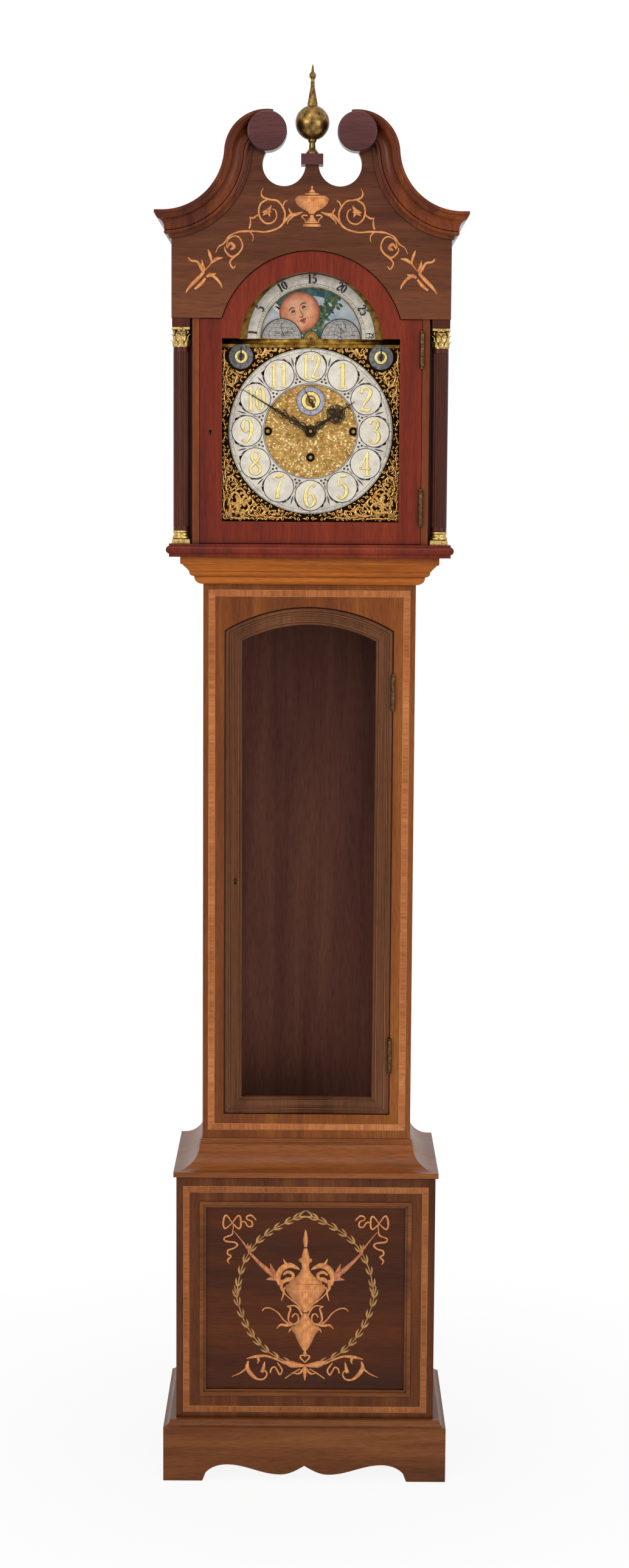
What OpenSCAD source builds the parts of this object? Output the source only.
// Longcase clock with an arched moon dial, a glazed trunk door and a swan-neck hood.
// Millimetres. X is to the right, the front faces -Y and the floor is Z = 0.

/* [Heights] */
// Height of the bracket-foot base board
base_h = 92; // [80:1:110]
// Height of the plinth box, from base board to waist moulding
plinth_h = 452; // [430:1:480]
// Height of the trunk, from plinth top to throat moulding
trunk_h = 1033; // [1010:1:1060]
// Height of the throat moulding under the hood
throat_h = 48; // [44:1:52]
// Height of the hood from its runners to the frieze
hood_h = 400; // [396:1:404]
// Height of the frieze from its lower edge to the lower end of the swan neck's top edge
frieze_h = 176; // [170:1:182]

/* [Widths] */
// Half width of the plinth
plinth_hw = 227; // [222:1:232]
// How far the base board stands out from the plinth
base_out = 22; // [18:1:26]
// Half width of the trunk
trunk_hw = 183; // [180:1:186]
// Half width of the hood's sides
hood_hw = 232; // [230:1:234]
// How far the frieze stands out past the hood's sides
frieze_lip = 3; // [2:1:4]

/* [Depths] */
// Depth of the plinth from the wall
plinth_d = 284; // [280:1:290]
// Depth of the trunk from the wall
trunk_d = 240; // [236:1:244]
// Depth of the hood from the wall to the frieze's face
hood_d = 292; // [290:1:296]
// How far the cornice stands out from the frieze
cornice_out = 28; // [24:1:30]
// How far the rosettes stand out from the frieze
rosette_out = 34; // [32:1:38]

/* [Boards] */
// Thickness of the case's side boards
side_t = 18; // [14:1:20]
// Thickness of the plinth and trunk front boards
front_t = 20; // [18:1:22]
// Thickness of the backboard
back_t = 14; // [10:1:16]
// Thickness of the hood's side boards
hood_side_t = 16; // [14:1:18]
// Thickness of the frieze board
frieze_t = 22; // [18:1:24]
// Thickness of both doors
door_t = 20; // [18:1:21]
// Thickness of the panes of glass
glass_t = 3; // [2:0.5:4]
// Thickness of the floor and seat boards
board_t = 18; // [16:1:20]

/* [Plinth panel] */
// Half width of the panel's opening
panel_hw = 186; // [176:1:190]
// Height of the panel's opening above the base board
panel_z = 56; // [50:1:62]
// Distance of the panel's opening below the top of the plinth
panel_top = 44; // [40:1:54]
// Width of the moulding round the panel
panel_mould = 11; // [8:1:14]
// Depth of the panel's face behind the plinth's face
panel_deep = 5; // [4:1:8]

/* [Trunk door] */
// Half width of the trunk door
tdoor_hw = 144; // [140:1:148]
// Height of the door's foot above the plinth top
tdoor_z = 104; // [98:1:110]
// Distance of the door's shoulders below the throat moulding
tdoor_top = 80; // [70:1:94]
// Rise of the arched top above its shoulders
tdoor_rise = 40; // [36:1:44]
// Width of the door's frame round the glass
tdoor_rail = 29; // [26:1:32]
// How far the trunk door opens, in degrees
tdoor_swing = 105; // [60:5:110]

/* [Hood door] */
// Half width of the hood door
hdoor_hw = 187; // [186:1:188]
// Height of the hood door's foot above the hood's runners
hdoor_z = 23; // [22:1:24]
// Radius of the hood door's arched top
hdoor_r = 156; // [154:1:158]
// Half width of the opening in front of the dial
view_hw = 150; // [147:1:151]
// Radius of the arched top of that opening
view_r = 121; // [118:1:123]
// How far the hood door opens, in degrees
hdoor_swing = 100; // [60:5:105]

/* [Dial] */
// Side of the dial's square
dial_w = 305; // [303:1:307]
// Height of the dial's centre above the hood's runners
dial_z = 213; // [212:1:214]
// Outer radius of the chapter ring
chapter_r = 139.5; // [136:0.5:142]
// Width of the chapter ring
chapter_w = 60.5; // [56:0.5:62]
// Radius of the moon disc
moon_r = 88; // [87:0.5:90]
// Radius of the humps that hide the moon
hump_r = 34; // [32:0.5:36]
// Length of the minute hand from its centre
minute_len = 138; // [125:1:138]
// Length of the hour hand from its centre
hour_len = 90; // [80:1:95]

/* [Hood ornament] */
// Radius of the swan neck's lower, hollow sweep
neck_r1 = 104; // [100:1:108]
// Width of the swan neck's moulding
neck_w = 45; // [40:1:48]
// Distance of each rosette from the middle
rosette_x = 75; // [74:1:77]
// Radius of the rosettes
rosette_r = 33; // [30:1:34]
// Radius of the hollows beside the finial block
valley_r = 36; // [35:1:37]
// Radius of the column shafts
column_r = 13.5; // [12:0.5:14]
// Radius of the finial's ball
ball_r = 28.5; // [24:0.5:32]
// Height of the finial's spire above its ball
spire_h = 66; // [50:1:80]

/* [Fits] */
// Gap between a door and its frame
door_gap = 1; // [0.8:0.1:1.5]
// Play of a hinge pin in its knuckle, on the radius
pin_play = 0.05; // [0.03:0.01:0.1]
// Radius of the hinge pins
pin_r = 1.75; // [1.5:0.25:2]
// Play of an arbor in its pivot hole, on the radius
pivot_play = 0.05; // [0.03:0.01:0.1]
// Gap between parts that slide over each other
slide_gap = 0.3; // [0.2:0.1:0.5]

/* [Hidden] */
$fn = 96;
far = 900;

// Planes from the back of the case to the front, with Y = 0 halfway through the whole depth
y_back = (hood_d + rosette_out) / 2;
y_board = y_back - back_t;
y_plinth = y_back - plinth_d;
y_base = y_plinth - base_out;
base_hw = plinth_hw + base_out;
y_trunk = y_back - trunk_d;
y_hood = y_back - hood_d;
y_hdoor = y_hood + 3;
y_recess = y_hood + 34;

// Levels from the floor up
base_mould_h = 16;
waist_h = 52;
z_plinth = base_h;
z_waist = z_plinth + plinth_h;
z_throat = z_waist + trunk_h;
z_hood = z_throat + throat_h + slide_gap;
z_frieze = z_hood + hood_h;
frieze_hw = hood_hw + frieze_lip;
cornice_hw = frieze_hw + cornice_out;
z_neck = z_frieze + frieze_h;
z_plinth_floor = z_plinth + board_t;
panel_h = plinth_h - panel_z - panel_top;
z_tdoor = z_waist + tdoor_z;
tdoor_h = trunk_h - tdoor_z - tdoor_top;
z_hdoor = z_hood + hdoor_z;
z_dial = z_hood + dial_z;
y_dial = y_trunk - 13;
y_plates = y_trunk + 17;

// Movement plates, measured from the dial's centre, and the distance of the outer winding holes
train_x = 73;
plate_gap = 60;
plate_t = 4;
plate_hw = 120;
plate_drop = 98;
plate_rise = 97;

// A moulding round the front and both sides of a box, mitred at the corners; its profile
// has x = 0 on the box's face and y upwards
module surround(hw, yf, yb, out) {
    intersection() {
        translate([-hw - out, yf, 0]) rotate([90, 0, 90])
            linear_extrude(2 * (hw + out)) mirror([1, 0]) children();
        linear_extrude(far) polygon([[-hw - out, yf - out], [hw + out, yf - out], [hw, yf], [-hw, yf]]);
    }
    for (m = [0, 1]) mirror([m, 0, 0]) intersection() {
        translate([hw, yb, 0]) rotate([90, 0, 0]) linear_extrude(yb - yf + out) children();
        linear_extrude(far) polygon([[hw, yf], [hw + out, yf - out], [hw + out, yb], [hw, yb]]);
    }
}

// A flat shape drawn as seen from the front, with its face at y and its thickness going back
module facing(y, t) {
    translate([0, y + t, 0]) rotate([90, 0, 0]) linear_extrude(t) children();
}

// A copy on each side of the clock's middle
module both_sides() {
    children();
    mirror([1, 0, 0]) children();
}

// A straight round part that points from y1 back to y2
module rod(x, z, y1, y2, r) {
    translate([x, y2, z]) rotate([90, 0, 0]) cylinder(h = y2 - y1, r = r);
}

// Height of the shaped apron's lower edge at x, where the feet start at xf
function apron(x, xf) =
    let (a = abs(x), drop = 0.233 * xf, crest = 0.76 * xf)
    a < drop ? 12 + 16 * (1 - sin(90 * a / drop)) :
    a < crest ? 12 + 9 * (1 - cos(180 * (a - drop) / (crest - drop))) :
    30 * sqrt(max(0, 1 - pow((a - crest) / (xf - crest), 2)));

// A base board from -hw to hw with a foot at each end and an apron between
module apron_board(hw, foot_w) {
    xf = hw - foot_w;
    n = 30;
    polygon(concat([[-hw, 0], [-hw, base_h], [hw, base_h], [hw, 0]],
        [for (i = [n : -1 : -n]) [xf * i / n, apron(xf * i / n, xf)]]));
}

foot_w = 69;
base_t = base_out + 6;
module base_board() {
    color("#6a3f28") {
        intersection() {
            facing(y_base, base_t) apron_board(base_hw, foot_w);
            linear_extrude(base_h) polygon([[-base_hw, y_base], [base_hw, y_base],
                [base_hw - base_t, y_base + base_t], [-base_hw + base_t, y_base + base_t]]);
        }
        both_sides() intersection() {
            translate([base_hw - base_t, (y_back + y_base) / 2, 0]) rotate([90, 0, 90])
                linear_extrude(base_t) apron_board((y_back - y_base) / 2, foot_w);
            linear_extrude(base_h) polygon([[base_hw, y_base], [base_hw, y_back],
                [base_hw - base_t, y_back], [base_hw - base_t, y_base + base_t]]);
        }
    }
}

module base_moulding() {
    color("#6b4229") translate([0, 0, z_plinth]) surround(plinth_hw, y_plinth, y_back, base_out)
        difference() {
            square([base_out, base_mould_h]);
            translate([base_out, base_mould_h]) circle(r = base_mould_h - 5);
        }
}

// The side boards stand on the floor board, which rests on the base board
module plinth_carcase() {
    in = plinth_hw - side_t;
    color("#5a3420") {
        both_sides() translate([in, y_plinth + front_t, z_plinth])
            cube([side_t, y_board - y_plinth - front_t, plinth_h]);
        translate([-in, y_plinth + front_t, z_plinth])
            cube([2 * in, y_board - y_plinth - front_t, board_t]);
        for (s = [-1, 1]) translate([s > 0 ? in : -plinth_hw, y_board, z_plinth])
            cube([side_t, back_t, plinth_h]);
    }
}

z_panel = z_plinth + panel_z;
module panel_shape(grow) {
    translate([-panel_hw - grow, z_panel - grow]) square([2 * (panel_hw + grow), panel_h + 2 * grow]);
}

module plinth_front() {
    color("#5f3621") facing(y_plinth, front_t) difference() {
        translate([-plinth_hw, z_plinth]) square([2 * plinth_hw, plinth_h]);
        panel_shape(0);
    }
}

module plinth_panel() {
    color("#4a2515") facing(y_plinth + panel_deep, front_t - panel_deep) panel_shape(0);
}

module panel_moulding() {
    color("#5f3621") {
        facing(y_plinth - 2, panel_deep + 2) difference() {
            panel_shape(0);
            panel_shape(-panel_mould * 0.6);
        }
        facing(y_plinth + 1, panel_deep - 1) difference() {
            panel_shape(-panel_mould * 0.5);
            panel_shape(-panel_mould);
        }
    }
}

// Fillet, hollow cove and a small bead, from the plinth top in to the trunk
module waist_moulding() {
    out = plinth_hw + 5 - trunk_hw;
    foot = 12;
    top = waist_h - 6;
    bead = 5;
    r = 37;
    color("#7a4526") translate([0, 0, z_waist]) surround(trunk_hw, y_trunk, y_back, out) {
        difference() {
            square([out, top]);
            translate([bead + r, top]) circle(r = r);
            translate([bead + r, top - r]) square([out, top]);
            translate([out - 3, foot]) square([out, top]);
        }
        translate([0, top]) square([bead, 3]);
        translate([0, top + 3]) square([3, 3]);
    }
}

// The sides run from inside the plinth up into the hood, where they carry the seatboard
z_seat = z_dial - plate_drop - board_t;
side_lap = 60;
module trunk_sides() {
    in = trunk_hw - side_t;
    z0 = z_waist - side_lap;
    color("#6b4028") both_sides() {
        translate([in, y_trunk + front_t, z0]) cube([side_t, y_board - y_trunk - front_t, z_seat - z0]);
    }
}

// One board from the floor of the plinth to the hood, with an ear each side at plinth and hood
module backboard() {
    ear = hood_hw - hood_side_t - slide_gap;
    in = plinth_hw - side_t;
    color("#4a2c28") facing(y_board, back_t) {
        translate([-in, z_plinth]) square([2 * in, plinth_h]);
        translate([-trunk_hw, z_waist]) square([2 * trunk_hw, z_hood - z_waist]);
        translate([-ear, z_hood]) square([2 * ear, hood_h + frieze_h - 60]);
    }
}

module trunk_front() {
    color("#70421f") difference() {
        facing(y_trunk, front_t) difference() {
            translate([-trunk_hw, z_waist]) square([2 * trunk_hw, trunk_h + throat_h]);
            tdoor_outline(-hinge_gap);
        }
        bolt_keep(-tdoor_hw, tlock_z, y_trunk);
    }
}

// Three convex reeds that step outwards from the trunk to the hood
module throat_moulding() {
    out = 38;
    step = out / 3;
    rise = throat_h / 3.2;
    color("#8e4e22") translate([0, 0, z_throat]) surround(trunk_hw, y_trunk, y_back, out) {
        for (i = [0 : 2]) translate([0, i * rise]) {
            square([i * step + step / 2, rise]);
            translate([i * step + step / 2 - 1, rise / 2]) circle(r = rise / 2);
        }
        translate([0, 3 * rise]) square([out, throat_h - 3 * rise]);
    }
}

// The movement stands on this board; its slots let the weight lines and the crutch through
seat_d = 99;
y_seat_back = y_plates - 4 + seat_d;
module seatboard() {
    color("#5a4030") difference() {
        translate([-trunk_hw, y_plates - 4, z_seat])
            cube([2 * trunk_hw, seat_d, board_t]);
        for (x = [-train_x, 0, train_x])
            translate([x - 12, y_plates + 14, z_seat - 1]) cube([24, plate_gap - 20, board_t + 2]);
        translate([-15, y_plates + plate_gap + 20, z_seat - 1]) cube([30, far, board_t + 2]);
    }
}

// Butt hinges. The pin stands in front of the gap between door and frame, and each leaf lies
// in the gap. Five knuckles: the second and fourth belong to the door.
knuckle_r = pin_r + 1.9;
hinge_gap = 2 * door_gap;
leaf_t = hinge_gap / 2 - 0.1;
leaf_d = 17;
hinge_h = 56;
function hinge_y(face) = face - knuckle_r - slide_gap;

module hinge(x, y, z, door) {
    n = 5;
    step = hinge_h / n;
    side = door ? -1 : 1;
    translate([x, y, z]) {
        for (i = [0 : n - 1]) if ((i % 2 == 1) == door) translate([0, 0, i * step + slide_gap / 2]) {
            difference() {
                union() {
                    cylinder(h = step - slide_gap, r = knuckle_r);
                    translate([side > 0 ? 0.1 : -0.1 - leaf_t, 0, 0])
                        cube([leaf_t, knuckle_r + 2, step - slide_gap]);
                }
                translate([0, 0, -1]) cylinder(h = step + 2, r = pin_r + (door ? 0 : pin_play));
            }
            translate([side > 0 ? 0.1 : -0.1 - leaf_t, knuckle_r + slide_gap, 0])
                cube([leaf_t, leaf_d, step - slide_gap]);
        }
        translate([side > 0 ? 0.1 : -0.1 - leaf_t, knuckle_r + slide_gap, 0])
            cube([leaf_t, leaf_d, hinge_h]);
        if (door) {
            translate([0, 0, -1]) cylinder(h = hinge_h + 2, r = pin_r);
            for (z = [-3.5, hinge_h + 0.5]) translate([0, 0, z]) cylinder(h = 3, r = knuckle_r - 0.5);
        }
    }
}

tdoor_axis_x = tdoor_hw + hinge_gap / 2;
tdoor_axis_y = hinge_y(y_trunk);
tdoor_hinge_in = [76, 77];
tdoor_hinge_z = [z_tdoor + tdoor_hinge_in[0], z_tdoor + tdoor_h - tdoor_hinge_in[1] - hinge_h];
hdoor_axis_x = hdoor_hw;
hdoor_axis_y = hinge_y(y_hdoor);
hdoor_hinge_in = [34, 23];
hdoor_hinge_z = [z_hdoor + hdoor_hinge_in[0], z_frieze - hdoor_hinge_in[1] - hinge_h];

module trunk_hinge_leaves() {
    color("#b08d57") for (z = tdoor_hinge_z) hinge(tdoor_axis_x, tdoor_axis_y, z, false);
}

module trunk_door_hinges() {
    color("#b08d57") for (z = tdoor_hinge_z) hinge(tdoor_axis_x, tdoor_axis_y, z, true);
}

// Three brass-cased weights with their pulleys, set down on the plinth floor
weight_r = 29;
weight_h = 190;
weight_x = 95;
module weights() {
    color("#b08d57") for (x = [-weight_x, 0, weight_x]) translate([x, 20, z_plinth_floor]) {
        rotate_extrude() polygon([[0, 0], [weight_r - 3, 0], [weight_r, 3], [weight_r, weight_h - 4],
            [weight_r - 4, weight_h], [0, weight_h]]);
        cylinder(h = weight_h + 34, r = 2.5);
        translate([0, 0, weight_h + 52]) rotate([90, 0, 0])
            rotate_extrude() polygon([[3, -5], [24, -5], [24, -3.5], [20, 0], [24, 3.5], [24, 5], [3, 5]]);
        for (y = [-8, 6]) translate([-4, y, weight_h + 30]) cube([8, 2, 32]);
        translate([0, 8, weight_h + 52]) rotate([90, 0, 0]) cylinder(h = 16, r = 3);
        translate([-4, -8, weight_h + 30]) cube([8, 16, 3]);
    }
}

// The seconds pendulum, lifted off and stood in the corner of the case behind the door's stile
rod_r = 2.5;
bob_r = 60;
pendulum_len = 1130;
module pendulum() {
    x = trunk_hw - side_t - rod_r - slide_gap;
    color("#b8924e") translate([x, 60, z_plinth_floor + slide_gap]) {
        cylinder(h = pendulum_len, r = rod_r);
        translate([-6, -1, pendulum_len]) cube([8, 2, 30]);
        translate([0, 0, bob_r + 45]) rotate([0, 90, 0])
            rotate_extrude() polygon([[0, -11], [bob_r * 0.6, -8], [bob_r, -1.5], [bob_r, 1.5],
                [bob_r * 0.6, 8], [0, 11]]);
        translate([0, 0, 26]) cylinder(h = 12, r = 9);
    }
}

// Trunk door: its outline, drawn d in from its edge, with an arc concentric to its top
tdoor_r = (tdoor_hw * tdoor_hw + tdoor_rise * tdoor_rise) / (2 * tdoor_rise);
module tdoor_outline(d) {
    z_arc = z_tdoor + tdoor_h + tdoor_rise - tdoor_r;
    translate([-tdoor_hw + d, z_tdoor + d]) square([2 * (tdoor_hw - d), z_arc - z_tdoor - d + 1]);
    intersection() {
        translate([0, z_arc]) circle(r = tdoor_r - d, $fn = 240);
        translate([-tdoor_hw + d, z_arc]) square([2 * (tdoor_hw - d), far]);
    }
}

// A keyhole: a round hole over a slot
module keyhole(x, z, grow) {
    translate([x, z + 2]) circle(r = 2 + grow, $fn = 32);
    translate([x - 1 - grow, z - 5 - grow]) square([2 + 2 * grow, 7 + grow]);
}

lock_w = 19;
lock_h = 56;
lock_deep = 7;
bolt_h = 14;
bolt_t = 5;
bolt_throw = 8;
reeds = 4;
reed_step = 1.6;
key_in = 17.5;
tlock_up = 6.5;
tlock_z = z_tdoor + tdoor_h / 2 + tlock_up;
tlock_x = -tdoor_hw + key_in;
hlock_z = z_dial + 15;
hlock_x = -hdoor_hw + key_in;

// A lock let into the back of a door's stile: its box, and a brass liner in the keyhole
module lock(edge_x, key_x, z, face, front) {
    facing(face + lock_deep, door_t - lock_deep) difference() {
        translate([edge_x, z - lock_h / 2]) square([lock_w + 2, lock_h]);
        translate([edge_x - 1, z - bolt_h / 2]) square([lock_w - 1, bolt_h]);
        keyhole(key_x, z - 18, 0);
    }
    facing(face + lock_deep + bolt_t + 1, door_t - lock_deep - bolt_t - 1)
        translate([edge_x, z - bolt_h / 2 - 1]) square([lock_w, bolt_h + 2]);
    facing(front - 0.6, face + lock_deep - front + 0.6) difference() {
        keyhole(key_x, z - 18, 1);
        keyhole(key_x, z - 18, 0);
    }
}

// The space for a lock in the door: a mortise in the back of the stile and the keyhole's liner
module lock_mortise(edge_x, key_x, z, face) {
    facing(face + lock_deep, far) translate([edge_x - 1, z - lock_h / 2]) square([lock_w + 3, lock_h]);
    facing(face - 5, far) keyhole(key_x, z - 18, 1);
}

module bolt(edge_x, z, face) {
    translate([edge_x + 0.2, face + lock_deep + 0.5, z - bolt_h / 2 + slide_gap])
        cube([lock_w - 6, bolt_t, bolt_h - 2 * slide_gap]);
}

module trunk_door_frame() {
    color("#70391f") difference() {
        for (i = [0 : reeds - 1]) facing(y_trunk + i * reed_step, door_t - i * reed_step) difference() {
            tdoor_outline(i * tdoor_rail * 0.22);
            tdoor_outline(tdoor_rail);
        }
        facing(y_trunk + 11, far) tdoor_outline(tdoor_rail * 0.78);
        lock_mortise(-tdoor_hw, tlock_x, tlock_z, y_trunk);
    }
}

module trunk_door_glass() {
    color("#c9d2d0") facing(y_trunk + 11, glass_t) tdoor_outline(tdoor_rail * 0.78 + slide_gap);
}

module trunk_lock() {
    color("#b08d57") lock(-tdoor_hw, tlock_x, tlock_z, y_trunk, y_trunk + 2 * reed_step);
}

module trunk_bolt() {
    color("#a9a9a4") bolt(-tdoor_hw, tlock_z, y_trunk);
}

// The slot that a thrown bolt enters, in the frame beside the door
module bolt_keep(edge_x, z, face) {
    translate([edge_x - bolt_throw - 3, face + lock_deep - 0.5, z - bolt_h / 2 - 1])
        cube([bolt_throw + 4, bolt_t + 2, bolt_h + 2]);
}

// Hood side boards, thicker above where the frieze runs round, with the hood's runners
module hood_sides() {
    in = hood_hw - hood_side_t;
    y0 = y_recess + 10;
    color("#5c3424") both_sides() {
        translate([in, y0, z_hood]) cube([hood_side_t, y_back - y0, hood_h]);
        translate([in, y_hood + frieze_t, z_frieze])
            cube([hood_side_t + frieze_lip, y_back - y_hood - frieze_t, frieze_h]);
        translate([trunk_hw + 20, y0, z_hood]) cube([in - trunk_hw - 20, y_board - slide_gap - y0, 20]);
    }
}

// Rounded nose that stands out all round the foot of the hood
base_nose_h = hdoor_z - door_gap;
module hood_base_moulding() {
    out = 12;
    color("#6b3a22") translate([0, 0, z_hood]) {
        surround(hood_hw, y_hood, y_back, out) {
            square([out - 5, base_nose_h]);
            translate([out - 7, base_nose_h * 0.55]) circle(r = 7);
        }
        difference() {
            translate([-hood_hw, y_hood, 0]) cube([2 * hood_hw, y_recess + 10 - y_hood, base_nose_h]);
            translate([-trunk_hw, y_recess - 12, -1]) cube([2 * trunk_hw, far, base_nose_h + 2]);
        }
    }
}

// Hood door: its outline at a share of the way from its edge (0) to its opening (1)
z_arch = z_frieze - 44;
z_view_top = z_frieze - 33;
module hdoor_outline(share) {
    hw = hdoor_hw - share * (hdoor_hw - view_hw);
    z0 = z_hdoor + share * 37;
    z1 = z_frieze - door_gap - share * (z_frieze - door_gap - z_view_top);
    translate([-hw, z0]) square([2 * hw, z1 - z0]);
    intersection() {
        translate([0, z_arch]) circle(r = hdoor_r - share * (hdoor_r - view_r), $fn = 160);
        translate([-far, z1 - 30]) square(far * 2);
    }
}

// Stiles beside the door, the mask behind it that frames the dial, and the boards behind the columns
stile_w = 12;
module hood_front() {
    in = hdoor_hw + door_gap;
    mask_t = 8;
    z0 = z_hood + base_nose_h;
    color("#5f3322") difference() {
        union() {
            both_sides() {
                translate([in, y_hdoor, z0]) cube([stile_w, y_recess - y_hdoor, z_frieze - z0]);
                translate([in, y_recess, z0]) cube([hood_hw - in, 10, z_frieze - z0]);
            }
            facing(y_recess - mask_t, mask_t) difference() {
                translate([-in - 1, z0]) square([2 * in + 2, z_frieze + 116 - z0]);
                hdoor_outline(0.97);
            }
        }
        bolt_keep(-hdoor_hw, hlock_z, y_hdoor);
    }
}

// Centres of the arcs that draw the swan neck's top edge: the hollow outer sweep and the round
// inner one, which meet on the line between the centres
neck_c1 = [frieze_hw + 15, z_neck + neck_r1];
neck_c2x = rosette_x;
neck_c2z = z_neck + 93;
neck_r2 = norm(neck_c1 - [neck_c2x, neck_c2z]) - neck_r1;
neck_turn = atan2(neck_c1[1] - neck_c2z, neck_c1[0] - neck_c2x);
rosette_z = neck_c2z + neck_r2 - rosette_r - 2.5;
valley_x = 47;
valley_up = 78;
valley_z = z_neck + valley_up;
block_z = valley_z - 1;
block_hw = 18.5;
block_h = 18;

// Frieze and pediment board: arched below over the door, with the swan-neck outline above
module frieze_board() {
    color("#6e4636") facing(y_hood, frieze_t) difference() {
        both_sides() {
            difference() {
                translate([-1, z_frieze]) square([frieze_hw + 1, neck_c2z - z_frieze]);
                translate(neck_c1) circle(r = neck_r1 + 1);
                translate([-2, block_z]) square([valley_x + 2, far]);
            }
            intersection() {
                translate([neck_c2x, neck_c2z]) circle(r = neck_r2 - 1);
                translate([neck_c2x, neck_c2z - 5]) square(far);
            }
            translate([rosette_x, rosette_z]) circle(r = rosette_r - 2);
        }
        both_sides() translate([valley_x, valley_z]) circle(r = valley_r);
        translate([0, z_arch]) circle(r = hdoor_r + door_gap, $fn = 160);
    }
}

// Cornice section, from its top edge (y = 0) down; x is how far it stands out
module cornice_profile() {
    o = cornice_out;
    w = neck_w;
    difference() {
        polygon([[0, 0], [o, 0], [o, -w * 0.12], [o - 2, -w * 0.12], [o - 2, -w * 0.18],
            [o * 0.42, -w * 0.62], [o * 0.42, -w * 0.7], [o * 0.3, -w * 0.7], [o * 0.12, -w * 0.9],
            [o * 0.12, -w], [0, -w]]);
        translate([o - 1, -w * 0.62]) circle(r = w * 0.34);
    }
    translate([o * 0.3, -w * 0.78]) circle(r = w * 0.08);
}

// The front cornice: a short level piece at the corner, then the hollow sweep, then the round
// one. It is mitred against the side cornice.
module swan_necks() {
    color("#7a4a34") both_sides() {
        difference() {
            union() {
                translate([neck_c1[0], y_hood, z_neck]) rotate([90, 0, 90])
                    linear_extrude(cornice_hw - neck_c1[0]) mirror([1, 0]) cornice_profile();
                translate([neck_c1[0], y_hood, neck_c1[1]]) rotate([90, 0, 0])
                    rotate_extrude(start = 180 + neck_turn, angle = 90 - neck_turn, $fn = 120)
                        translate([neck_r1, 0]) rotate(90) cornice_profile();
            }
            linear_extrude(far * 4) polygon([[frieze_hw, y_hood], [cornice_hw + 5, y_hood - cornice_out - 5],
                [cornice_hw + 5, y_hood + 5], [frieze_hw, y_hood + 5]]);
        }
        difference() {
            translate([neck_c2x, y_hood, neck_c2z]) rotate([90, 0, 0])
                rotate_extrude(start = neck_turn, angle = 98 - neck_turn, $fn = 120)
                    translate([neck_r2, 0]) mirror([1, -1]) cornice_profile();
            rod(rosette_x, rosette_z, y_hood - far, y_hood + 1, rosette_r + slide_gap);
        }
    }
}

module side_cornices() {
    color("#6a3d2a") both_sides() intersection() {
        translate([frieze_hw, y_back, z_neck]) rotate([90, 0, 0])
            linear_extrude(y_back - y_hood + cornice_out) cornice_profile();
        linear_extrude(far * 4) polygon([[frieze_hw, y_hood], [cornice_hw, y_hood - cornice_out],
            [cornice_hw, y_back], [frieze_hw, y_back]]);
    }
}

// Turned rosettes at the ends of the swan necks
module rosettes() {
    r = rosette_r;
    p = rosette_out;
    color("#5e3c3c") both_sides() translate([rosette_x, y_hood, rosette_z]) rotate([90, 0, 0])
        rotate_extrude() polygon([[0, 0], [r, 0], [r, p - 7], [r - 3, p - 4], [r - 8, p - 4],
            [r - 11, p - 9], [r - 17, p - 9], [r - 20, p - 4], [8, p - 2], [5, p], [0, p]]);
}

module hood_roof() {
    in = hood_hw - hood_side_t;
    y0 = y_hood + frieze_t;
    color("#4a2c20") translate([-in, y0, z_neck - 14]) cube([2 * in, y_back - y0, 14]);
}

module finial_block() {
    color("#5e3626") translate([-block_hw, y_hood - 6, block_z])
        cube([2 * block_hw, frieze_t + 12, block_h]);
}

// Turned brass finial: foot, neck, collar, ball, neck and spire
z_finial = block_z + block_h;
module finial() {
    z_ball = z_finial + 52;
    z_spire = z_ball + ball_r;
    color("#a9854a") translate([0, y_hood + frieze_t / 2, 0]) {
        rotate_extrude() polygon([[0, z_finial], [10.5, z_finial], [10.5, z_finial + 3],
            [5.5, z_finial + 10], [5, z_finial + 19], [7.2, z_finial + 22], [7.2, z_finial + 25],
            [5, z_ball - ball_r + 1], [0, z_ball]]);
        translate([0, 0, z_ball]) sphere(r = ball_r);
        rotate_extrude() polygon([[0, z_ball], [8.5, z_spire - 1.5], [8.5, z_spire + 3],
            [3.5, z_spire + spire_h * 0.45], [3, z_spire + spire_h * 0.64],
            [5.5, z_spire + spire_h * 0.7], [5.5, z_spire + spire_h * 0.77],
            [2.5, z_spire + spire_h * 0.83], [1, z_spire + spire_h], [0, z_spire + spire_h]]);
    }
}

// Fluted columns in the hood's front corners, on brass bases and under brass capitals
column_x = hood_hw - 13;
column_y = y_hood + 16;
col_base_h = 22;
cap_h = 33;
abacus_h = 15;
z_col = z_hood + base_nose_h;
z_cap = z_frieze - abacus_h - cap_h;
module column_shafts() {
    flutes = 16;
    color("#3e2420") both_sides() translate([column_x, column_y, 0]) {
        translate([0, 0, z_col + col_base_h]) difference() {
            cylinder(h = z_cap - z_col - col_base_h, r = column_r);
            for (i = [0 : flutes - 1]) rotate(i * 360 / flutes)
                translate([column_r + 0.6, 0, 8]) cylinder(h = z_cap - z_col - col_base_h - 16, r = 1.9, $fn = 16);
        }
        translate([-15, -15, z_cap + cap_h]) cube([30, 30, abacus_h]);
    }
}

module column_bases() {
    b = column_r + 1.5;
    h = col_base_h;
    color("#b8924e") both_sides() translate([column_x, column_y, z_col]) {
        translate([-b, -b, 0]) cube([2 * b, 2 * b, h * 0.36]);
        rotate_extrude() polygon([[0, h * 0.3], [b - 1, h * 0.36], [b, h * 0.45], [b, h * 0.55],
            [b - 2, h * 0.66], [b - 2, h * 0.8], [b - 0.5, h * 0.88], [b - 1.5, h], [0, h]]);
    }
}

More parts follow.
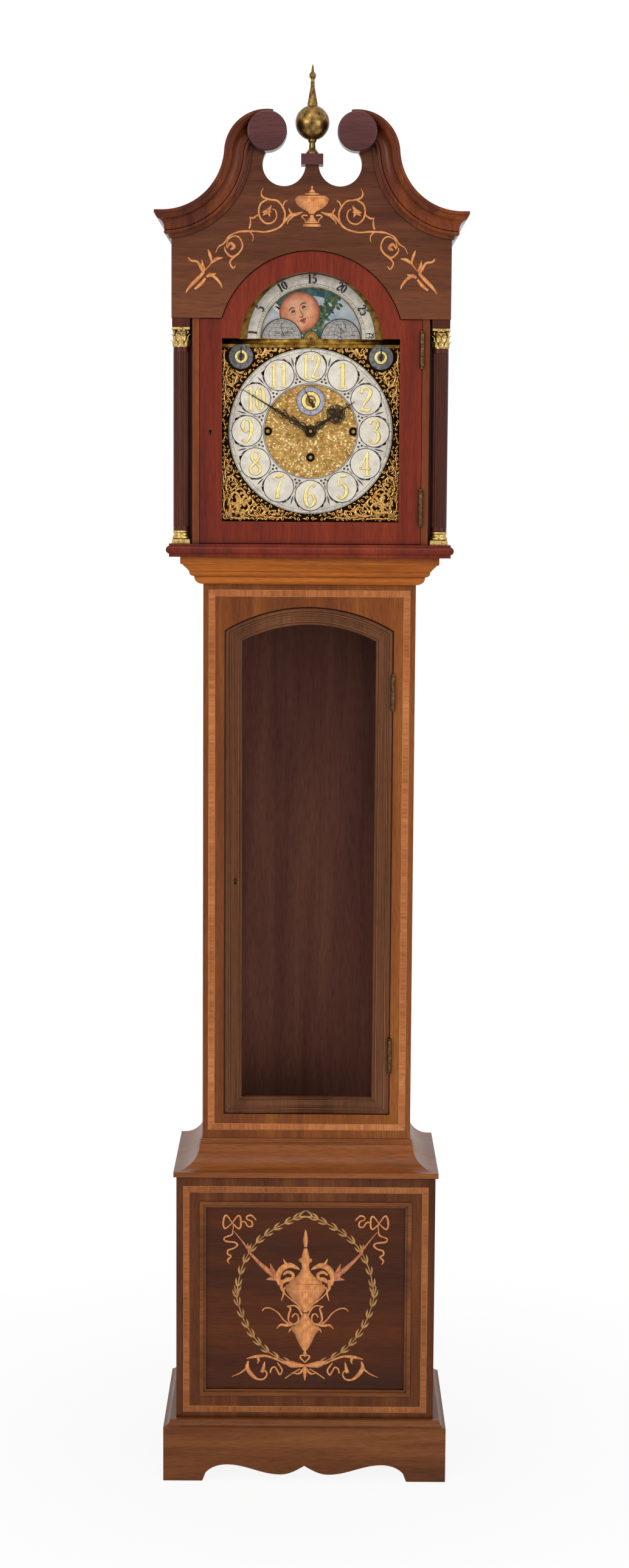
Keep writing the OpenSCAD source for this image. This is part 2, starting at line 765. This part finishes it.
module capitals() {
    b = column_r;
    color("#c7a35c") both_sides() translate([column_x, column_y, z_cap]) {
        rotate_extrude() polygon([[0, 0], [b, 0], [b, 3], [b - 2, 4], [b - 2, 10], [b + 0.5, 14],
            [b - 1.5, 15], [b - 1, 20], [b + 1, 25], [b - 1, 27], [b - 1, 30], [0, 30]]);
        translate([-b - 1, -b - 1, cap_h - 4]) cube([2 * b + 2, 2 * b + 2, 4]);
    }
}

module hood_hinge_leaves() {
    color("#b08d57") for (z = hdoor_hinge_z) hinge(hdoor_axis_x, hdoor_axis_y, z, false);
}

module hood_door_hinges() {
    color("#b08d57") for (z = hdoor_hinge_z) hinge(hdoor_axis_x, hdoor_axis_y, z, true);
}

module hood_door_frame() {
    color("#7c3327") difference() {
        for (i = [0 : 3]) facing(y_hdoor + i, door_t - i) difference() {
            hdoor_outline([0, 0.68, 0.79, 0.9][i]);
            hdoor_outline(1);
        }
        facing(y_hdoor + 12, far) hdoor_outline(0.82);
        lock_mortise(-hdoor_hw, hlock_x, hlock_z, y_hdoor);
        for (z = hdoor_hinge_z) translate([hdoor_hw - hinge_gap / 2, y_hdoor - 1, z - 5])
            cube([5, far, hinge_h + 10]);
    }
}

module hood_door_glass() {
    color("#d3dad8") facing(y_hdoor + 12, glass_t) hdoor_outline(0.83);
}

module hood_lock() {
    color("#b08d57") lock(-hdoor_hw, hlock_x, hlock_z, y_hdoor, y_hdoor);
}

module hood_bolt() {
    color("#a9a9a4") bolt(-hdoor_hw, hlock_z, y_hdoor);
}

// Dial. Places on it are given from its centre: x to the right, z up
going_z = -44;
seconds_z = 51;
moon_z = 155.5;
dial_arch_z = 143;
dial_arch_r = 124;
dial_t = 3;
lunar_r = 109;
hump_x = 50;
sub_x = 119;
sub_z = 125;
sub_r = 21;
boss_r = 12;
wind_hole_r = 5.5;
pivot_r = 1.3;
centre_r = 2.5;
pipe_r = 4.2;
y_front_in = y_plates + plate_t;
y_back_in = y_front_in + plate_gap;

// The opening that shows the moon: half a disc, less the two humps
module moon_window() {
    difference() {
        intersection() {
            circle(r = moon_r - 3);
            translate([-far, 0]) square(far * 2);
        }
        for (s = [-1, 1]) translate([s * hump_x, 0]) circle(r = hump_r);
        circle(r = boss_r);
    }
}

module dial_plate() {
    color("#b58b45") translate([0, 0, z_dial]) {
        facing(y_dial, dial_t) difference() {
            union() {
                square(dial_w, center = true);
                translate([0, dial_arch_z]) circle(r = dial_arch_r, $fn = 160);
            }
            translate([0, moon_z]) moon_window();
            translate([0, moon_z]) circle(r = 2 + pivot_play);
            for (p = [[-train_x, 0], [train_x, 0], [0, going_z]]) translate(p) circle(r = wind_hole_r);
            circle(r = pipe_r + 1);
            translate([0, seconds_z]) circle(r = pivot_r + 1);
            for (s = [-1, 1]) translate([s * sub_x, sub_z]) circle(r = pivot_r + pivot_play);
        }
        for (x = [-105, 105], z = [-80, 80])
            rod(x, z, y_dial + dial_t, y_plates, 3.5);
    }
}

module ring(r, w) {
    difference() {
        circle(r = r, $fn = 160);
        circle(r = r - w, $fn = 160);
    }
}

module chapter_ring() {
    color("#d3d3da") translate([0, 0, z_dial]) facing(y_dial - 2, 2) ring(chapter_r, chapter_w);
}

// Seconds ring, the two small dials for strike and chime, and the lunar arc
module silvered_rings() {
    color("#d3d3da") translate([0, 0, z_dial]) {
        facing(y_dial - 1.5, 1.5) translate([0, seconds_z]) ring(24.5, 8);
        facing(y_dial - 1.5, 1.5) intersection() {
            translate([0, moon_z]) ring(lunar_r, lunar_r - moon_r + 2);
            translate([-far, moon_z]) square(far * 2);
        }
        for (s = [-1, 1]) facing(y_dial - 1.5, 1.5) translate([s * sub_x, sub_z]) ring(sub_r, sub_r - 3);
    }
}

// Pierced gilt corner castings, each cut back round the chapter ring and the small dials
module spandrels() {
    edge = dial_w / 2 - 5;
    color("#c9a04e") translate([0, 0, z_dial]) for (sx = [-1, 1], sz = [-1, 1])
        facing(y_dial - 3, 3) scale([sx, sz]) difference() {
            intersection() {
                translate([58, 58]) square(edge - 58);
                translate([edge - 8, edge - 8]) circle(r = 84);
            }
            circle(r = chapter_r + 3, $fn = 160);
            if (sz > 0) translate([sub_x, sub_z]) circle(r = sub_r + 4);
            else translate([edge - 24, edge - 24]) circle(r = 9);
            for (a = [-1, 1]) translate([edge - 33 + a * 22, edge - 33 - a * 22]) circle(r = 4);
        }
}

// A wheel or pinion seen from the front, with the middle of a tooth at the angle given
module teeth(n, size, angle, thin = 1) {
    root = n * size / 2 - 1.25 * size;
    tip = n * size / 2 + 0.75 * size;
    step = 360 / n;
    polygon([for (i = [0 : n - 1], p = [[root, -0.2 * thin], [tip, -0.07], [tip, 0.07], [root, 0.2 * thin]])
        p[0] * [cos(angle + step * (i + p[1])), sin(angle + step * (i + p[1]))]]);
}

// A crossed-out wheel: teeth, rim, spokes and hub, cut through for its arbor
module wheel(n, size, angle, y, t, arbor_r, spokes = 4) {
    rim = n * size / 2 - 1.25 * size - 3;
    facing(y, t) difference() {
        teeth(n, size, angle);
        for (i = [0 : spokes - 1]) rotate(i * 360 / spokes) intersection() {
            difference() {
                circle(r = rim);
                circle(r = arbor_r + 5);
            }
            translate([1.6, 1.6]) square(far);
            if (spokes > 4) rotate(360 / spokes - 90) translate([1.6, -far - 1.6]) square(far);
        }
        circle(r = arbor_r - 0.01);
    }
}

// An arbor between the plates, with a pivot in each plate
module arbor(r) {
    rod(0, 0, y_front_in + 0.3, y_back_in - 0.3, r);
    rod(0, 0, y_plates, y_back_in + plate_t, pivot_r);
}

// Where the train's arbors stand, from the dial's centre, and the tooth sizes that fit
great_n = 96;
centre_n = 64;
third_n = 60;
leaf_n = 8;
great_size = -2 * going_z / (great_n + leaf_n);
centre_size = 0.8;
third_size = 0.75;
third_a = centre_size * (centre_n + leaf_n) / 2;
third_b = third_size * (third_n + leaf_n) / 2;
third_z = (third_a * third_a - third_b * third_b + seconds_z * seconds_z) / (2 * seconds_z);
third_x = sqrt(third_a * third_a - third_z * third_z);
third_angle = atan2(third_z, third_x);
escape_angle = atan2(seconds_z - third_z, -third_x);
escape_r = 19.5;
pallet_z = seconds_z + 28.3;
cannon_n = 36;
hour_n = 72;
motion_n = 6;
cannon_size = 1;
motion_d = cannon_size * cannon_n;
hour_size = 2 * motion_d / (hour_n + motion_n);
motion_angle = 135;
motion_x = motion_d * cos(motion_angle);
motion_z = motion_d * sin(motion_angle);
hammer_x = 62;
hammer_z = 84;
bell_r = 42;
bell_z = 106;

// Two brass plates held apart by five pillars, with the back cock that holds the pendulum
module movement_frame() {
    color("#b8924e") translate([0, 0, z_dial]) {
        for (y = [y_plates, y_back_in]) facing(y, plate_t) difference() {
            translate([-plate_hw, -plate_drop]) square([2 * plate_hw, plate_drop + plate_rise]);
            for (p = [[-train_x, 0], [train_x, 0], [0, going_z]])
                translate(p) circle(r = wind_r + pivot_play);
            circle(r = (y == y_plates ? centre_r : pivot_r) + pivot_play);
            for (p = [[third_x, third_z], [0, seconds_z], [hammer_x, hammer_z]])
                translate(p) circle(r = pivot_r + pivot_play);
            translate([0, pallet_z]) circle(r = pivot_r + pivot_play);
        }
        for (p = [[-108, -86], [108, -86], [-108, 86], [108, 86], [0, -90]])
            rod(p[0], p[1], y_front_in, y_back_in, 4);
        rod(motion_x, motion_z, y_plates - 12, y_plates, 2);
        translate([-14, y_back_in + plate_t, plate_rise - 8]) difference() {
            cube([28, 26, 8]);
            translate([13, 14, -1]) cube([2, 20, 10]);
        }
    }
}

// A barrel that the gut line winds on, its great wheel, and an arbor squared for the key
wind_r = 4;
barrel_r = 25;
module barrel(x, z, n, size, angle) {
    translate([x, 0, z_dial + z]) {
        rod(0, 0, y_front_in + 6, y_front_in + 44, barrel_r - 3);
        for (y = [6, 42]) rod(0, 0, y_front_in + y, y_front_in + y + 2, barrel_r);
        wheel(n, size, angle, y_back_in - 12, 3, wind_r);
        rod(0, 0, y_back_in - 16, y_back_in - 12, 9);
        rod(0, 0, y_dial + 8, y_back_in + plate_t, wind_r);
        translate([-2.8, y_dial + 0.5, -2.8]) cube([5.6, 8, 5.6]);
    }
}

module going_barrel() {
    color("#b8924e") barrel(0, going_z, great_n, great_size, 90);
}

module strike_barrel() {
    color("#b8924e") barrel(-train_x, 0, great_n, great_size, 90);
}

module chime_barrel() {
    color("#b8924e") barrel(train_x, 0, great_n, great_size, 90);
}

// Centre arbor: pinion driven by the going great wheel, centre wheel, cannon wheel
y_second = y_dial - 4;
y_hour = y_dial - 6.5;
y_minute = y_dial - 9;
module centre_arbor() {
    color("#c3a15a") translate([0, 0, z_dial]) {
        rod(0, 0, y_minute - 4, y_back_in - 0.3, centre_r);
        rod(0, 0, y_plates, y_back_in + plate_t, pivot_r);
        facing(y_back_in - 15, 9) teeth(leaf_n, great_size, -90 + 180 / leaf_n, 0.7);
        wheel(centre_n, centre_size, third_angle, y_front_in + 3, 2, centre_r);
        facing(y_plates - 8, 3) teeth(cannon_n, cannon_size, motion_angle);
    }
}

module minute_wheel() {
    color("#c3a15a") translate([motion_x, 0, z_dial + motion_z]) difference() {
        union() {
            facing(y_plates - 8, 3) teeth(cannon_n, cannon_size, motion_angle + 180 + 180 / cannon_n);
            facing(y_plates - 13, 5) teeth(motion_n, hour_size, motion_angle + 180 + 180 / motion_n, 0.8);
        }
        rod(0, 0, -far, far, 2 + pivot_play);
    }
}

// Hands point at the angles given, clockwise from XII
minute_at = 301;
hour_at = 56;
second_at = 332;

module minute_hand() {
    color("#1d1a1c") translate([0, 0, z_dial]) difference() {
        union() {
            facing(y_minute, 1.2) rotate(-minute_at) {
                circle(r = 8);
                polygon([[-3, 6], [-1.6, minute_len * 0.5], [-0.4, minute_len], [0.4, minute_len],
                    [1.6, minute_len * 0.5], [3, 6]]);
                translate([0, minute_len * 0.2]) circle(r = 4.5);
            }
            rod(0, 0, y_minute - 2.5, y_minute + 1, 4);
        }
        rod(0, 0, -far, far, centre_r);
    }
}

module hour_hand() {
    color("#1d1a1c") translate([0, 0, z_dial]) difference() {
        union() {
            facing(y_hour, 1.2) rotate(-hour_at) {
                circle(r = 10);
                polygon([[-3, 8], [-2, hour_len * 0.6], [-0.5, hour_len], [0.5, hour_len],
                    [2, hour_len * 0.6], [3, 8]]);
                difference() {
                    union() {
                        translate([0, hour_len * 0.62]) circle(r = 8);
                        for (s = [-1, 1]) translate([s * 8, hour_len * 0.53]) circle(r = 6);
                    }
                    for (s = [-1, 1]) translate([s * 7.5, hour_len * 0.53]) circle(r = 3);
                    for (s = [-1, 1]) translate([s * 4, hour_len * 0.63]) circle(r = 2);
                }
            }
            rod(0, 0, y_hour, y_plates - 9, pipe_r);
            facing(y_plates - 12.5, 2) teeth(hour_n, hour_size, motion_angle);
        }
        rod(0, 0, -far, far, centre_r + pivot_play);
    }
}

module third_arbor() {
    color("#c3a15a") translate([third_x, 0, z_dial + third_z]) {
        arbor(2);
        facing(y_front_in + 1, 6) teeth(leaf_n, centre_size, third_angle + 180 + 180 / leaf_n, 0.7);
        wheel(third_n, third_size, escape_angle, y_front_in + 26, 2, 2);
    }
}

// Escape wheel with thirty pointed teeth; its long front pivot carries the seconds hand
module escape_arbor() {
    n = 30;
    color("#c3a15a") translate([0, 0, z_dial + seconds_z]) {
        arbor(2);
        rod(0, 0, y_second - 0.3, y_plates, pivot_r);
        facing(y_front_in + 23, 8) teeth(leaf_n, third_size, escape_angle + 180 + 180 / leaf_n, 0.7);
        facing(y_front_in + 40, 2) difference() {
            polygon([for (i = [0 : n - 1], p = [[escape_r - 4, 0], [escape_r, 0.35], [escape_r, 0.45],
                [escape_r - 4, 0.6]]) p[0] * [cos((i + p[1]) * 360 / n), sin((i + p[1]) * 360 / n)]]);
            for (i = [0 : 3]) rotate(i * 90) intersection() {
                ring(escape_r - 6, escape_r - 12);
                translate([1.3, 1.3]) square(far);
            }
        }
    }
}

module seconds_hand() {
    color("#1d1a1c") translate([0, 0, z_dial + seconds_z]) difference() {
        union() {
            facing(y_second, 1) rotate(-second_at) {
                circle(r = 3.5);
                polygon([[-1.2, 2.2], [-0.4, 20], [0.4, 20], [1.2, 2.2]]);
                polygon([[-1.6, -2.2], [1.6, -2.2], [2.5, -12], [-2.5, -12]]);
            }
            rod(0, 0, y_second + 0.5, y_second + 1.4, 2.8);
        }
        rod(0, 0, -far, far, pivot_r);
    }
}

// Anchor pallets on their arbor, and the crutch that reaches down behind the back plate
module pallets() {
    color("#8d8d90") translate([0, 0, z_dial + pallet_z]) {
        arbor(2);
        facing(y_front_in + 38, 6) {
            circle(r = 6);
            translate([0, seconds_z - pallet_z]) for (s = [-1, 1]) {
                intersection() {
                    ring(escape_r + 7, 4);
                    rotate(s > 0 ? 45 : 90) square(40);
                    rotate(45) square(40);
                }
                rotate(-s * 43) translate([-1.5, escape_r + 1.8]) square([3, 4]);
            }
            translate([-2, seconds_z - pallet_z + escape_r + 4]) square([4, 8]);
        }
        rod(0, 0, y_back_in + plate_t, y_back_in + plate_t + 8, pivot_r);
        facing(y_back_in + plate_t + 5, 2) {
            circle(r = 5);
            translate([-1.5, -130]) square([3, 130]);
        }
        for (x = [-5, 3.5]) translate([x, y_back_in + plate_t + 5, -134]) cube([1.5, 16, 5]);
        translate([-5, y_back_in + plate_t + 5, -134]) cube([10, 2, 5]);
    }
}

module moon_disc() {
    color("#2d4a4e") translate([0, 0, z_dial + moon_z]) {
        facing(y_dial + dial_t + 0.7, 1.5) circle(r = moon_r);
        rod(0, 0, y_dial - 1, y_dial + dial_t + 1, 2);
        rod(0, 0, y_dial + dial_t + 2, y_dial + dial_t + 5, 5);
        rod(0, 0, y_dial - 3, y_dial - 0.3, boss_r - 4);
    }
}

module small_hand(x) {
    color("#1d1a1c") translate([x, 0, z_dial + sub_z]) {
        facing(y_dial - 3.5, 1) {
            circle(r = 3);
            polygon([[-1.2, 0], [-0.4, sub_r - 5], [0.4, sub_r - 5], [1.2, 0]]);
        }
        rod(0, 0, y_dial - 3, y_dial + dial_t + 6, pivot_r);
    }
}

module strike_dial_hand() {
    small_hand(-sub_x);
}

module chime_dial_hand() {
    small_hand(sub_x);
}

// Bell on a stand from the back plate
module bell() {
    t = 3;
    bell_y = y_plates + 34;
    color("#a9854a") translate([0, bell_y, z_dial + bell_z]) {
        rotate_extrude() polygon([[bell_r, 0], [bell_r - 2, 10], [bell_r * 0.8, 24], [bell_r * 0.5, 33],
            [0, 36], [0, 36 - t], [bell_r * 0.5 - 1, 33 - t], [bell_r * 0.8 - t, 24 - t],
            [bell_r - 2 - t, 9], [bell_r - t, 0]]);
        translate([0, 0, 34]) cylinder(h = 8, r = 3);
    }
    color("#8d8d90") translate([-5, 0, z_dial]) {
        translate([0, bell_y - 6, bell_z + 41]) cube([10, y_back_in + plate_t + 4 - bell_y + 6, 3]);
        translate([0, y_back_in + plate_t, plate_rise]) cube([10, 4, bell_z + 44 - plate_rise]);
    }
}

// Hammer that strikes the bell's rim; it rests just clear of the rim and is drawn back to strike
module bell_hammer() {
    head_r = 6;
    head_x = bell_r + head_r + 0.8;
    color("#8d8d90") {
        translate([hammer_x, 0, z_dial + hammer_z]) arbor(2);
        translate([0, y_plates + 34, z_dial]) rotate([90, 0, 0]) linear_extrude(4, center = true)
            polygon([[hammer_x - 3, hammer_z], [hammer_x + 3, hammer_z], [head_x + 2, bell_z + 4],
                [head_x - 2, bell_z + 4]]);
        rod(head_x, z_dial + bell_z + 4, y_plates + 28, y_plates + 40, head_r);
    }
}

base_board();
base_moulding();
plinth_carcase();
plinth_front();
plinth_panel();
panel_moulding();
waist_moulding();
trunk_sides();
backboard();
trunk_front();
throat_moulding();
seatboard();
trunk_hinge_leaves();
weights();
pendulum();
trunk_door_frame();
trunk_door_glass();
trunk_door_hinges();
trunk_lock();
trunk_bolt();
hood_sides();
hood_base_moulding();
hood_front();
frieze_board();
swan_necks();
side_cornices();
rosettes();
hood_roof();
finial_block();
finial();
column_shafts();
capitals();
column_bases();
hood_hinge_leaves();
hood_door_frame();
hood_door_glass();
hood_door_hinges();
hood_lock();
hood_bolt();
dial_plate();
chapter_ring();
silvered_rings();
spandrels();
movement_frame();
bell();
bell_hammer();
minute_wheel();
going_barrel();
strike_barrel();
chime_barrel();
centre_arbor();
minute_hand();
hour_hand();
third_arbor();
escape_arbor();
seconds_hand();
pallets();
moon_disc();
strike_dial_hand();
chime_dial_hand();
